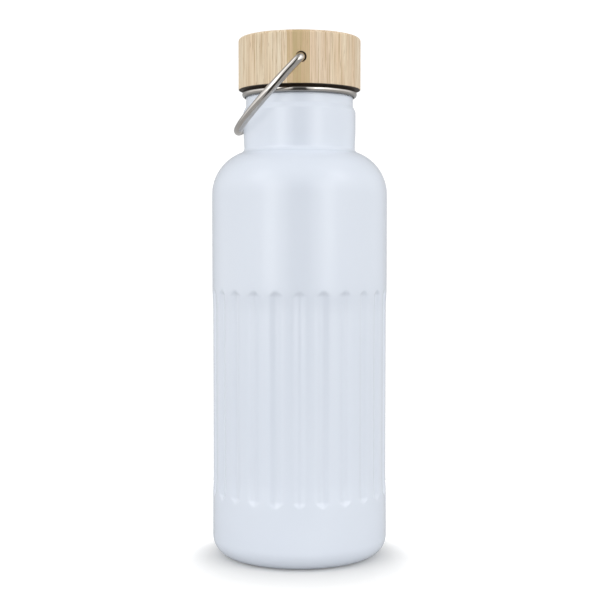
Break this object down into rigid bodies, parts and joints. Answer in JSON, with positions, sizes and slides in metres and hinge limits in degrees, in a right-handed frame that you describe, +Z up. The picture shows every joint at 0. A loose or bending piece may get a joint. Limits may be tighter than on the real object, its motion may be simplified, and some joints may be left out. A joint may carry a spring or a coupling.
{
  "type": "insulated water bottle",
  "caption": "Double-wall steel water bottle with a fluted painted body, a bamboo screw lid lined in steel, and a wire bail handle.",
  "frame": {"origin": "centre of the base, on the plane that the bottle stands on", "axes": "+Z up along the bottle's axis; the bail's pivot lies along Y and the bail hangs towards -X"},
  "size_m": [0.07, 0.07, 0.2066],
  "materials": {
    "powder_coat": "satin powder coat, pale grey with a cool tint",
    "brushed_steel": "brushed stainless steel",
    "liner_steel": "electropolished stainless steel",
    "polished_steel": "polished stainless steel",
    "screw_steel": "plain steel",
    "bamboo": "sanded laminated bamboo, vertical grain, matt oil",
    "moulded_pp": "moulded polypropylene",
    "silicone": "translucent white silicone",
    "foam": "closed-cell foam",
    "copper_foil": "bright copper foil",
    "solder_glass": "fused solder glass, dark grey and opaque",
    "getter_metal": "sintered metal tablet"
  },
  "bodies": {
    "bottle": {"outer_shell": "powder_coat", "outer_base": "brushed_steel", "base_cover": "brushed_steel", "vacuum_seal_bead": "solder_glass", "vacuum_getter": "getter_metal", "getter_holder": "brushed_steel", "heat_shield_foil": "copper_foil", "inner_liner": "liner_steel", "inner_base": "liner_steel"},
    "seal": {"lid_gasket": "silicone"},
    "lid": {"thread_insert": "moulded_pp", "lid_insulation": "foam", "lid_disc": "brushed_steel", "insert_screws": "screw_steel", "lid_cup": "polished_steel", "bamboo_cap": "bamboo"},
    "bail": {"bail_handle": "polished_steel"}
  },
  "joints": [
    {"name": "lid_rise", "type": "slide", "parent": "bottle", "child": "seal", "axis": [0, 0, 1], "range_m": [0, 0.0201]},
    {"name": "lid_turn", "type": "hinge", "parent": "seal", "child": "lid", "pos_m": [0, 0, 0.196], "axis": [0, 0, 1], "range_deg": [0, 1800]},
    {"name": "bail_swing", "type": "hinge", "parent": "lid", "child": "bail", "pos_m": [0, 0, 0.196], "axis": [0, 1, 0], "range_deg": [0, 273.2]}
  ],
  "couplings": [
    {"joint": "lid_rise", "follows": "lid_turn", "m_per_rad": 0.00063662}
  ]
}
